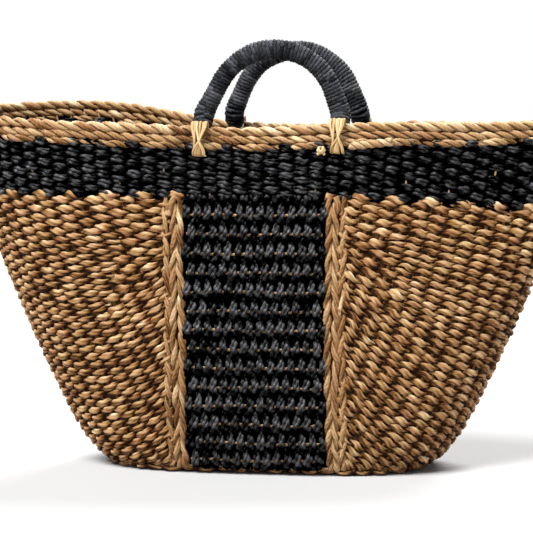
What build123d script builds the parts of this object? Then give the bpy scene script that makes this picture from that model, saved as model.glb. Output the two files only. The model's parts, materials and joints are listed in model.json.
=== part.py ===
from build123d import *
import os
from math import cos, exp, pi, radians, sin, tan

# Woven market basket: a seagrass tote with a black band under its rim, a black panel in the
# middle of each face and two cord-wrapped arch handles that swing at the rim.
#
# Millimetres, +Z up. The origin is on the ground under the middle of the basket. +X runs
# along the mouth and -Y faces the front panel.

# ---- driving dimensions -------------------------------------------------------------------
WALL = 9.0                  # thickness of the woven wall and floor
RIM_HEIGHT = 339.0          # top of the rim over the middle of the basket
RIM_SADDLE = 9.0            # how much higher the rim is at its two ends
BACK_LIFT = (22.0, -210.0, 210.0)   # the back rim's rise on the left: height, X, reach
FRONT_LIFT = (5.5, 115.0, 110.0)    # the front rim's rise beside the right handle foot

TOP_HALF_LENGTH = 316.0     # half of the mouth's length
LOW_HALF_LENGTH = 175.0     # half of the basket's length at the ground, before its rounding
FLANK_BULGE = 10.6          # how far the ends stand proud of a straight slope at mid height
BASE_HALF_DEPTH = 88.0      # half of its depth just above the ground
BELLY = (60.0, 53.0)        # rise and fall of the half depth with height
END_TUCK = (20.0, 14.0)     # the ends tuck in at the ground: how far, and how high it fades
FACE_TUCK = (10.0, 7.0)     # the same for the two faces
BASE_SQUARENESS = 2.8       # superellipse power: a rounded rectangle at the base
MOUTH_SQUARENESS = 2.2      # nearly an ellipse at the mouth
MOUTH_PINCH = 0.10          # the handles draw the middle of the mouth together
PINCH_REACH = 90.0
MOUTH_SKEW = 0.80           # the mouth gapes on the left and closes on the right
SKEW_POWER = 1.5

ROPE_HEIGHTS = (9.5, 8.0, 6.5)          # the rim's three ropes, top to bottom, mid length
BAND_HEIGHT = 47.0                      # the black band under the ropes
PANEL_HALF_WIDTH = 68.0                 # the black panel in the middle of each face

STAKE_WIDTH = 4.0           # the stakes and warps that the wall is woven round
STAKE_THICKNESS = 2.4
STAKE_PITCH = 26.0          # at the rim; they close up towards the base
STAKES_PER_QUARTER = 7
STAKE_SPANS = 5             # straight spans that follow the wall's curve
STAKE_END_GAP = 3.0
WARP_PITCH = 20.0
WARPS_PER_PANEL = 12
WARP_SPANS = 4
FLOOR_STAKES = 7
FLOOR_STAKE_LENGTH = 190.0
FLOOR_STAKE_PITCH = 18.0

HANDLE_X = 14.0             # middle of the two handles along the rim
HANDLE_STAGGER = 2.0        # the front one stands this much further left, the back one right
HANDLE_SPAN = 132.0         # from foot to foot
HANDLE_RISE = 62.0          # from the feet to the top of the handle's middle line
HANDLE_LEANS = {"front": (28.0, 20.0), "back": (24.0, 22.0)}    # left and right leg
WRAP_DIAMETER = 20.0
CORE_DIAMETER = 13.0
FOOT_BALL_INSET = 0.2       # the rounded foot is this much slimmer than the leg
FOOT_CLEARANCE = 3.6        # between a handle's wrap and the rim beside it
FOOT_GAP = 2.4              # between its foot and the lashing below
PIVOT_ABOVE_RIM = 12.0      # the handles flex just above the rim
TAIL_LENGTH = 19.0          # the end of each handle, tied to the inside of the wall
TAIL_DIAMETER = 13.0
TAIL_CLEARANCE = 0.5
TAIL_TILT_ROOM = 1.0        # the tails lean with the wall, so their top edge tips up

LASHING_WIDTH = 16.0
LASHING_THICKNESS = 2.0
LASHING_HEIGHT = 29.0
LASHING_SLACK = 0.6
SPLICE_DIAMETER = 9.0       # a rope end tucked into the band, right of the front handle
SPLICE_XS = (92.0, 126.0)
SPLICE_DROPS = (25.0, 21.5) # its two ends below the rim's top
KNOT_X = 63.0               # a small knot of the same strand, left of it
KNOT_DROP = 26.0
KNOT_DIAMETER = 8.0
TUCK = 1.5                  # how deep the rope end and the knot sit in the weave

SECTION_POINTS = 32         # points round each section of the wall
SECTION_HEIGHTS = (20.0, 45.0, 90.0, 150.0, 215.0, 280.0, 320.0, 365.0)
RIM_POINTS = 13
REACH = 340.0               # beyond the basket in X
DEPTH_REACH = 150.0         # beyond the basket in Y

# ---- worked out from those ----------------------------------------------------------------
ROPES_LOW = RIM_HEIGHT - sum(ROPE_HEIGHTS)
BAND_LOW = ROPES_LOW - BAND_HEIGHT
PIVOT_Z = RIM_HEIGHT + PIVOT_ABOVE_RIM
WRAP_RADIUS = WRAP_DIAMETER / 2
TAIL_COVER = LASHING_SLACK + TAIL_TILT_ROOM
TAIL_TOP = PIVOT_Z - WRAP_RADIUS - FOOT_GAP - LASHING_THICKNESS - LASHING_SLACK - TAIL_COVER
TAIL_RADIUS = TAIL_DIAMETER / 2
STAKE_CLOSING = LOW_HALF_LENGTH / TOP_HALF_LENGTH


# ---- the basket's shape -------------------------------------------------------------------
def ground_tuck(height, tuck):
    """How far the wall is drawn in near the ground."""
    depth, fade = tuck
    return depth * exp(-height / fade)


def half_length(height):
    """Half of the basket's length at a height: it flares nearly straight up to the mouth."""
    rise = height / RIM_HEIGHT
    straight = LOW_HALF_LENGTH + (TOP_HALF_LENGTH - LOW_HALF_LENGTH) * rise
    return straight + 4 * FLANK_BULGE * rise * (1 - rise) - ground_tuck(height, END_TUCK)


def half_depth(height):
    """Half of the basket's depth at a height, before the pinch and the skew."""
    rise = height / RIM_HEIGHT
    return BASE_HALF_DEPTH + BELLY[0] * rise - BELLY[1] * rise**2 - ground_tuck(height, FACE_TUCK)


def shaping(x, height):
    """What the pinch and the skew of the mouth leave of the half depth."""
    rise = height / RIM_HEIGHT
    pinch = MOUTH_PINCH * rise**2 * exp(-(((x - HANDLE_X) / PINCH_REACH) ** 2))
    off_middle = x / half_length(height)
    skew = MOUTH_SKEW * (rise * abs(off_middle)) ** SKEW_POWER
    return (1 - pinch) * (1 - (skew if x > 0 else -skew))


def squareness(height):
    """The power of the superellipse at a height."""
    rise = height / RIM_HEIGHT
    return BASE_SQUARENESS + (MOUTH_SQUARENESS - BASE_SQUARENESS) * rise


def wall_half_depth(x, height, inset=0.0):
    """Distance of the wall from the middle plane at x, measured on the surface at inset."""
    power = squareness(height)
    across = min(abs(x) / (half_length(height) - inset), 1.0)
    edge = (1 - across**power) ** (1 / power)
    return (half_depth(height) * shaping(x, height) - inset) * edge


def section(height, inset):
    """Points round the wall at one height, inset from its outside."""
    power = 2 / squareness(height)
    points = []
    for index in range(SECTION_POINTS):
        turn = 2 * pi * index / SECTION_POINTS
        c, s = cos(turn), sin(turn)
        x = (half_length(height) - inset) * abs(c) ** power * (1 if c > 0 else -1)
        y = (half_depth(height) * shaping(x, height) - inset) * abs(s) ** power
        points.append((x, y if s > 0 else -y))
    return points


def form(inset, floor):
    """The space inside the wall's surface at inset, from the height floor up."""
    with BuildPart() as solid:
        for height in (floor,) + SECTION_HEIGHTS:
            with BuildSketch(Plane.XY.offset(height)):
                with BuildLine():
                    Spline(*section(height, inset), periodic=True)
                make_face()
        loft()
    return solid.part


# ---- the rim ------------------------------------------------------------------------------
def rim_height(x, back):
    """Height of the rim's top along the front face, or along the back one."""
    lift, middle, reach = BACK_LIFT if back else FRONT_LIFT
    off_lift = min(abs(x - middle) / reach, 1.0)
    saddle = RIM_SADDLE * (x / TOP_HALF_LENGTH) ** 2
    return RIM_HEIGHT + saddle + lift * cos(off_lift * pi / 2) ** 2


def under_rim():
    """A block that holds all the space below the rim's top edge."""
    xs = [-REACH + 2 * REACH * index / (RIM_POINTS - 1) for index in range(RIM_POINTS)]
    with BuildPart() as block:
        for back in (False, True):
            with BuildSketch(Plane.XZ.offset(-DEPTH_REACH if back else DEPTH_REACH)):
                with BuildLine():
                    top = Spline(*[(x, rim_height(x, back)) for x in xs])
                    Polyline(top @ 0, (-REACH, -WALL), (REACH, -WALL), top @ 1)
                make_face()
        loft(ruled=True)
    return block.part


def side_of(back):
    return 1 if back else -1


def rim_height_at(x, y):
    """Height of the rim's top at a point: it is ruled from one face to the other."""
    back_share = 0.5 + y / (2 * DEPTH_REACH)
    return rim_height(x, True) * back_share + rim_height(x, False) * (1 - back_share)


def foot_depth(x):
    """Distance of a handle's foot from the middle plane: it stands just inside the wall."""
    return wall_half_depth(x, RIM_HEIGHT, WALL) - WRAP_RADIUS - FOOT_CLEARANCE


def write(builder, name):
    builder.part.label = name
    export_step(builder.part, f"parts/{name}.step")


os.makedirs("parts", exist_ok=True)

# ---- stakes and warps: the hidden frame that the weave goes round --------------------------
with BuildPart() as wall_stakes:
    for side in (-1, 1):
        for back in (False, True):
            for index in range(STAKES_PER_QUARTER):
                rim_x = side * (PANEL_HALF_WIDTH + STAKE_WIDTH + index * STAKE_PITCH)
                foot_x = side * (PANEL_HALF_WIDTH + STAKE_WIDTH)
                foot_x += side * index * STAKE_PITCH * STAKE_CLOSING**1.5
                stake_low = WALL + STAKE_END_GAP
                stake_high = ROPES_LOW - STAKE_END_GAP
                for span in range(STAKE_SPANS + 1):
                    share = span / STAKE_SPANS
                    z = stake_low + (stake_high - stake_low) * share
                    x = foot_x + (rim_x - foot_x) * share**0.7
                    y = wall_half_depth(x, z, WALL / 2)
                    slope = wall_half_depth(x + 1, z, WALL / 2) - y
                    across = (1, side_of(back) * slope, 0)
                    plane = Plane(origin=(x, side_of(back) * y, z), x_dir=across, z_dir=(0, 0, 1))
                    with BuildSketch(plane):
                        Rectangle(STAKE_WIDTH, STAKE_THICKNESS)
                loft(ruled=True)
write(wall_stakes, "wall_stakes")

panel_warps = {}
for back in (False, True):
    with BuildPart() as warps:
        for index in range(WARPS_PER_PANEL):
            z = WALL + WARP_PITCH * (index + 0.75)
            for span in range(WARP_SPANS + 1):
                x = (PANEL_HALF_WIDTH - STAKE_END_GAP) * (2 * span / WARP_SPANS - 1)
                y = side_of(back) * wall_half_depth(x, z, WALL / 2)
                with BuildSketch(Plane(origin=(x, y, z), x_dir=(0, 1, 0), z_dir=(1, 0, 0))):
                    Rectangle(STAKE_THICKNESS, STAKE_WIDTH)
            loft(ruled=True)
    panel_warps[back] = warps
write(panel_warps[False], "front_panel_warps")
write(panel_warps[True], "back_panel_warps")

with BuildPart() as floor_stakes:
    with Locations((0, 0, WALL / 2)):
        with GridLocations(0, FLOOR_STAKE_PITCH, 1, FLOOR_STAKES):
            Box(FLOOR_STAKE_LENGTH, STAKE_WIDTH, STAKE_THICKNESS)
write(floor_stakes, "floor_stakes")

# ---- the woven floor and wall, which hold the stakes inside them --------------------------------
with BuildPart() as base_weave:
    add(form(0, 0))
    split(bisect_by=Plane.XY.offset(WALL), keep=Keep.BOTTOM)
write(base_weave, "base_weave")

with BuildPart() as wall:
    add(form(0, 0))
    split(bisect_by=Plane.XY.offset(WALL), keep=Keep.TOP)
    add(form(WALL, WALL), mode=Mode.SUBTRACT)


def cut_wall(low, high):
    """The ring of the wall between two heights."""
    with BuildPart() as ring:
        add(wall.part)
        split(bisect_by=Plane.XY.offset(low), keep=Keep.TOP)
        split(bisect_by=Plane.XY.offset(high), keep=Keep.BOTTOM)
    return ring


lower_wall = cut_wall(WALL, BAND_LOW)

with BuildPart() as left_side_weave:
    add(lower_wall.part)
    split(bisect_by=Plane.YZ.offset(-PANEL_HALF_WIDTH), keep=Keep.BOTTOM)
write(left_side_weave, "left_side_weave")

with BuildPart() as right_side_weave:
    add(lower_wall.part)
    split(bisect_by=Plane.YZ.offset(PANEL_HALF_WIDTH), keep=Keep.TOP)
write(right_side_weave, "right_side_weave")

for name, keep in (("front_centre_panel", Keep.TOP), ("back_centre_panel", Keep.BOTTOM)):
    with BuildPart() as centre_panel:
        add(lower_wall.part)
        split(bisect_by=Plane.YZ.offset(-PANEL_HALF_WIDTH), keep=Keep.TOP)
        split(bisect_by=Plane.YZ.offset(PANEL_HALF_WIDTH), keep=Keep.BOTTOM)
        split(bisect_by=Plane.XZ, keep=keep)
    write(centre_panel, name)

write(cut_wall(BAND_LOW, ROPES_LOW), "black_band")

# ---- three ropes finish the rim; the top one carries its saddle and its lift ------------------
rope_low = ROPES_LOW
for name, height in zip(("rim_rope_lower", "rim_rope_middle"), ROPE_HEIGHTS[:0:-1]):
    write(cut_wall(rope_low, rope_low + height), name)
    rope_low += height
with BuildPart() as rim_rope_top:
    add(wall.part)
    split(bisect_by=Plane.XY.offset(rope_low), keep=Keep.TOP)
    add(under_rim(), mode=Mode.INTERSECT)
write(rim_rope_top, "rim_rope_top")

# ---- handles: a rope core wound with cord, an arch that swings about its two feet ------------
for place, back in (("front", False), ("back", True)):
    handle_x = HANDLE_X + side_of(back) * HANDLE_STAGGER
    feet_x = (handle_x - HANDLE_SPAN / 2, handle_x + HANDLE_SPAN / 2)
    left, right = [Vector(x, side_of(back) * foot_depth(x), PIVOT_Z) for x in feet_x]
    along = (right - left).normalized()
    half_span = (right - left).length / 2
    stand = Plane(origin=(left + right) / 2, x_dir=along, z_dir=along.cross(Vector(0, 0, 1)))

    # one arc tangent to both legs, whose top is HANDLE_RISE above the feet
    leans = [radians(lean) for lean in HANDLE_LEANS[place]]
    radius = (2 * half_span - HANDLE_RISE * sum(tan(lean) for lean in leans)) / sum(
        tan(pi / 4 - lean / 2) for lean in leans
    )
    arc_x = half_span - HANDLE_RISE * tan(leans[1]) - radius * tan(pi / 4 - leans[1] / 2)
    arc_z = HANDLE_RISE - radius
    leg_tops = [
        (arc_x + side * radius * cos(lean), arc_z + radius * sin(lean))
        for side, lean in zip((-1, 1), leans)
    ]
    with BuildPart() as handle_core:
        with BuildLine(stand) as arch:
            Line((-half_span, 0), leg_tops[0])
            ThreePointArc(leg_tops[0], (arc_x, HANDLE_RISE), leg_tops[1])
            Line(leg_tops[1], (half_span, 0))
        with BuildSketch(Plane(origin=arch.line @ 0, z_dir=arch.line % 0)):
            Circle(CORE_DIAMETER / 2)
        sweep(path=arch.line)
    write(handle_core, f"{place}_handle_core")

    with BuildPart() as handle_wrap:
        with BuildSketch(Plane(origin=arch.line @ 0, z_dir=arch.line % 0)):
            Circle(WRAP_RADIUS)
        sweep(path=arch.line)
        with Locations(left, right):
            Sphere(WRAP_RADIUS - FOOT_BALL_INSET)
        add(handle_core.part, mode=Mode.SUBTRACT)
    write(handle_wrap, f"{place}_handle_wrap")
    print(f"{place} handle: feet {tuple(left)} {tuple(right)}, axis {tuple(along)}")

    # the end of each leg, tied to the inside of the wall by a raffia lashing
    for foot, x in zip(("left", "right"), feet_x):
        tail_ends = []
        for z in (TAIL_TOP, TAIL_TOP - TAIL_LENGTH):
            depth = wall_half_depth(x, z, WALL) - TAIL_CLEARANCE - TAIL_RADIUS
            tail_ends.append(Vector(x, side_of(back) * depth, z))
        with BuildPart() as handle_tail:
            with BuildLine() as tail_line:
                Line(*tail_ends)
            with BuildSketch(Plane(origin=tail_ends[0], z_dir=tail_ends[1] - tail_ends[0])):
                Circle(TAIL_RADIUS)
            sweep(path=tail_line.line)
        write(handle_tail, f"{place}_{foot}_handle_tail")

        edges = (x - LASHING_WIDTH / 2, x + LASHING_WIDTH / 2)
        rim_top = max(
            rim_height_at(e, side_of(back) * wall_half_depth(e, RIM_HEIGHT, inset))
            for e in edges
            for inset in (0, WALL)
        )
        low = rim_top - LASHING_HEIGHT
        outside_top = max(wall_half_depth(e, rim_top) for e in edges) + LASHING_SLACK
        outside_low = max(wall_half_depth(e, low) for e in edges) + LASHING_SLACK
        inside_top = min(wall_half_depth(e, rim_top, WALL) for e in edges) - LASHING_SLACK
        behind_tail = abs(tail_ends[0].Y) - TAIL_RADIUS - 2 * LASHING_SLACK
        outline = (
            (outside_low, low),
            (outside_top, rim_top + LASHING_SLACK),
            (inside_top, rim_top + LASHING_SLACK),
            (inside_top, TAIL_TOP + TAIL_COVER),
            (behind_tail, TAIL_TOP + TAIL_COVER),
            (behind_tail, low),
        )
        loop = [(side_of(back) * depth, z) for depth, z in outline]
        with BuildPart() as lashing:
            with BuildSketch(Plane.YZ.offset(edges[0])):
                with BuildLine():
                    Polyline(*loop, close=True)
                make_face()
                offset(amount=LASHING_THICKNESS)
                with BuildLine():
                    Polyline(*loop, close=True)
                make_face(mode=Mode.SUBTRACT)
            extrude(amount=LASHING_WIDTH)
        write(lashing, f"{place}_{foot}_lashing")

# ---- a rope end and a knot where the rim was finished ----------------------------------------
splice_ends = []
for x, drop in zip(SPLICE_XS, SPLICE_DROPS):
    z = rim_height(x, False) - drop
    depth = wall_half_depth(x, z) + SPLICE_DIAMETER / 2 - TUCK
    splice_ends.append(Vector(x, -depth, z))
with BuildPart() as splice_tail:
    with BuildLine() as splice_line:
        Line(*splice_ends)
    with BuildSketch(Plane(origin=splice_ends[0], z_dir=splice_ends[1] - splice_ends[0])):
        Circle(SPLICE_DIAMETER / 2)
    sweep(path=splice_line.line)
    with Locations(*splice_ends):
        Sphere(SPLICE_DIAMETER / 2)
write(splice_tail, "splice_tail")

knot_z = rim_height(KNOT_X, False) - KNOT_DROP
knot_depth = wall_half_depth(KNOT_X, knot_z) + KNOT_DIAMETER / 2 - TUCK
with BuildPart() as tie_knot:
    with Locations((KNOT_X, -knot_depth, knot_z)):
        Sphere(KNOT_DIAMETER / 2)
write(tie_knot, "tie_knot")
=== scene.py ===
import json
import math
import bpy
import numpy as np
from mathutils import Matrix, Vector
from mathutils.bvhtree import BVHTree


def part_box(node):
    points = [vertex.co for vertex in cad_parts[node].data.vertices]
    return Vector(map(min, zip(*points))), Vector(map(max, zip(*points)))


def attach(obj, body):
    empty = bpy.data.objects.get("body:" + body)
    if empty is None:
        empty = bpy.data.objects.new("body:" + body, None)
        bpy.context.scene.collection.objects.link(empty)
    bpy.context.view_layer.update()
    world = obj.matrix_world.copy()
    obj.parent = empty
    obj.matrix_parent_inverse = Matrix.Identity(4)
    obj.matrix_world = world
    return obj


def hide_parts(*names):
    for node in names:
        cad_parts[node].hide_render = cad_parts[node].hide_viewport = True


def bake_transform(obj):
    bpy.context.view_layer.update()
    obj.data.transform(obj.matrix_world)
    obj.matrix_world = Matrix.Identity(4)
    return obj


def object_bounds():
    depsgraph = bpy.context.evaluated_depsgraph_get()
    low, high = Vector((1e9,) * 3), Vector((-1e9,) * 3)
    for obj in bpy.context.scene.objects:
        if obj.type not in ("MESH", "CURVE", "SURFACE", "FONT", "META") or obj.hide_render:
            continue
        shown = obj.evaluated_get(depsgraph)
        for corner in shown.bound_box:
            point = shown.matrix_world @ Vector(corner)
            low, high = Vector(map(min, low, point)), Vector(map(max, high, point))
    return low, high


# A woven market basket. Every strand is a tube, and weavers go over and under their stakes.
# Lengths are metres. MM turns the weaver's millimetres into metres.

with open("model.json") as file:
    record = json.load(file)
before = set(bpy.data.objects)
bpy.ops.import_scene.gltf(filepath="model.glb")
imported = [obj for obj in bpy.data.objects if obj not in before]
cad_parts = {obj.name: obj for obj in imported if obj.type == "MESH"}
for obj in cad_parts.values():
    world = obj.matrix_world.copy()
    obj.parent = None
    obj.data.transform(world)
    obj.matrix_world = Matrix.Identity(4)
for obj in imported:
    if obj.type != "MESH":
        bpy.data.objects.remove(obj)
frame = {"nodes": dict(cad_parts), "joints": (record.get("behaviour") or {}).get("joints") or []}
cad_low, cad_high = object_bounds()
MM = 0.001
rng = np.random.default_rng(11)

WALL = 9 * MM                  # thickness of the woven wall
RIM_SADDLE = 9 * MM            # the rim rises this much at both ends
BACK_LIFT = (22 * MM, -0.210, 0.210)   # the back rim's rise on the left: height, x, reach
FRONT_LIFT = (5.5 * MM, 0.115, 0.110)  # the front rim's rise on the right
LIFT_DEPTH = 0.150             # the two rises blend into each other over this depth


# ---- lines of points ----
def unit(vectors):
    """The vectors at length one."""
    return vectors / np.maximum(np.linalg.norm(vectors, axis=-1, keepdims=True), 1e-12)


def direction(path, closed=False):
    """Unit vectors along a path."""
    if closed:
        return unit(np.roll(path, -1, 0) - np.roll(path, 1, 0))
    return unit(np.gradient(path, axis=0))


def arc_length(points):
    """Distance along a line of points, from its first."""
    return np.r_[0, np.cumsum(np.linalg.norm(np.diff(points, axis=0), axis=1))]


def resample(points, along, at):
    """The points of a line at other distances along it."""
    return np.stack([np.interp(at, along, points[:, i]) for i in range(3)], 1)


def smoothed(padded, width):
    """A line rounded off over width points each way, which it loses at both ends."""
    kernel = np.hanning(2 * width + 3)[1:-1]
    kernel /= kernel.sum()
    return np.stack([np.convolve(padded[:, i], kernel, "valid") for i in range(3)], 1)


# ---- the wall's surface, read off the CAD nodes ----
WALL_NODES = ("base_weave", "left_side_weave", "right_side_weave", "front_centre_panel",
              "back_centre_panel", "black_band", "rim_rope_lower", "rim_rope_middle",
              "rim_rope_top")
LEVEL_STEP = 8 * MM
RAYS = 480                     # round one level
ROUND = 960                    # samples kept round one level, equally spaced
OVERLAP = 4                    # samples repeated at each end, so that gradients go round
FAR = 9                        # farther than anything in the scene


def wall_tree():
    """One ray-cast tree over every node of the woven wall."""
    verts, faces = [], []
    for name in WALL_NODES:
        mesh = frame["nodes"][name].data
        start = len(verts)
        verts += [v.co.copy() for v in mesh.vertices]
        faces += [[start + i for i in p.vertices] for p in mesh.polygons]
    return BVHTree.FromPolygons(verts, faces)


def level_outline(tree, z, half_x, half_y):
    """The outside of the wall at one height, from the front middle round by the right end."""
    points = []
    for index in range(RAYS):
        turn = 2 * math.pi * index / RAYS - math.pi / 2
        aim = Vector((half_x * math.cos(turn), half_y * math.sin(turn), 0)).normalized()
        points.append(tree.ray_cast(aim + Vector((0, 0, z)), -aim)[0])
    points = np.array(points + points[:1])
    arc = arc_length(points)
    return resample(points, arc, np.linspace(0, arc[-1], ROUND, endpoint=False)), arc[-1]


panel_low, panel_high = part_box("front_centre_panel")
band_low, band_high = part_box("black_band")
PANEL_HALF = (panel_high.x - panel_low.x) / 2
ROPES_HIGH = 24 * MM           # the three rim ropes together
RIM_Z = band_high.z + ROPES_HIGH       # the rim's top over the middle of the basket
MOUTH_HALF = cad_high.x

tree = wall_tree()
levels = np.arange(2 * MM, RIM_Z - 3 * MM, LEVEL_STEP)
outlines, girths = zip(*[level_outline(tree, z, cad_high.x, cad_high.y) for z in levels])
OUTLINE = np.array(outlines)   # level, sample, xyz
GIRTH = np.array(girths)


def surface_normals(grid):
    """Outward normals of a grid of points, level by sample."""
    return unit(np.cross(np.gradient(grid, axis=1), np.gradient(grid, axis=0)))


def padded_round(grid):
    """The grid with a few samples repeated at each end, and one more to close it."""
    return np.concatenate([grid[:, -OVERLAP:], grid, grid[:, :OVERLAP + 1]], 1)


class Surface:
    """A stretch of the wall: v runs from 0 to 1 along it at each level."""

    def __init__(self, points, normals, lengths):
        self.points, self.normals, self.lengths = points, normals, lengths

    def length(self, z):
        """From end to end at height z."""
        return np.interp(z, levels, self.lengths)

    def at(self, v, z):
        """Points and outward normals at v and z, both arrays."""
        rows, columns = self.points.shape[:2]
        fi = (z - levels[0]) / LEVEL_STEP
        i = np.clip(np.floor(fi).astype(int), 0, rows - 2)
        fi = (fi - i)[:, None]
        fj = np.clip(v, 0, 1) * (columns - 1)
        j = np.clip(np.floor(fj).astype(int), 0, columns - 2)
        fj = (fj - j)[:, None]

        def mix(grid):
            low = grid[i, j] * (1 - fj) + grid[i, j + 1] * fj
            high = grid[i + 1, j] * (1 - fj) + grid[i + 1, j + 1] * fj
            return low * (1 - fi) + high * fi

        return mix(self.points), unit(mix(self.normals))


ring_points = padded_round(OUTLINE)
ring_normals = surface_normals(ring_points)
ring = Surface(ring_points[:, OVERLAP:-OVERLAP], ring_normals[:, OVERLAP:-OVERLAP], GIRTH)


def stretch(from_x, to_x, from_front, to_front, samples=300):
    """The surface from one x to another, going the way of the outline."""
    points, normals, lengths = [], [], []
    for outline, normal, girth in zip(ring.points, ring.normals, GIRTH):
        share = np.linspace(0, 1, len(outline))
        ends = []
        for x, front in ((from_x, from_front), (to_x, to_front)):
            here = (outline[:, 1] < 0) == front
            gap = np.where(here, np.abs(outline[:, 0] - x), FAR)
            ends.append(share[gap.argmin()])
        if ends[1] <= ends[0]:
            ends[1] += 1
        at = np.linspace(ends[0], ends[1], samples) % 1.0
        points.append(resample(outline, share, at))
        normals.append(resample(normal, share, at))
        lengths.append((ends[1] - ends[0]) * girth)
    return Surface(np.array(points), np.array(normals), np.array(lengths))


right_side = stretch(PANEL_HALF, PANEL_HALF, True, False)
left_side = stretch(-PANEL_HALF, -PANEL_HALF, False, True)
front_panel = stretch(-PANEL_HALF, PANEL_HALF, True, True)
back_panel = stretch(PANEL_HALF, -PANEL_HALF, False, False)


def lift_at(x, lift):
    """Height that one rise adds at x."""
    height, middle, reach = lift
    off = np.clip(np.abs(x - middle) / reach, 0, 1)
    return height * np.cos(off * math.pi / 2) ** 2


def rim_top(x, y):
    """Height of the rim's top edge."""
    back = 0.5 + y / LIFT_DEPTH / 2
    saddle = RIM_SADDLE * (x / MOUTH_HALF) ** 2
    return RIM_Z + saddle + lift_at(x, BACK_LIFT) * back + lift_at(x, FRONT_LIFT) * (1 - back)


SETTLE = 4                     # passes that settle a height which depends on where it is
BAND_TOP_DROP = 18.5 * MM      # the band starts this far below the rim's top
BAND_FOOT = band_low.z + 4 * MM
BAND_FOOT_SAG = (14 * MM, 0.07, 0.2)   # its lower edge sags to the right: depth, from x, over


def band_foot(x):
    """Height of the band's lower edge."""
    depth, start, reach = BAND_FOOT_SAG
    return BAND_FOOT - depth * np.clip((x - start) / reach, 0, 1) ** 1.2


def band_height(x, y, share):
    """Height at this share of the way up the band."""
    foot = band_foot(x)
    return foot + (rim_top(x, y) - BAND_TOP_DROP - foot) * share


def settled(surface, v, start, height):
    """Points and normals at v, where the height depends on x and y."""
    z = np.full(len(v), start)
    for _ in range(SETTLE):
        point = surface.at(v, z)[0]
        z = height(point[:, 0], point[:, 1])
    return surface.at(v, z)


def add_object(name, data, come_from=None):
    """A new object in the scene. With a direction, it stands there and looks back."""
    item = bpy.data.objects.new(name, data)
    bpy.context.scene.collection.objects.link(item)
    if come_from is not None:
        item.rotation_mode = "QUATERNION"
        item.rotation_quaternion = (-Vector(come_from)).to_track_quat("-Z", "Y")
    return item


# ---- tubes ----
PAINTED_TOP_LIGHT = 0.20               # painted light gained on top of a strand and painted shade lost below it, in tone
UV_SCALE = 100                 # strand texture units per metre


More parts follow.
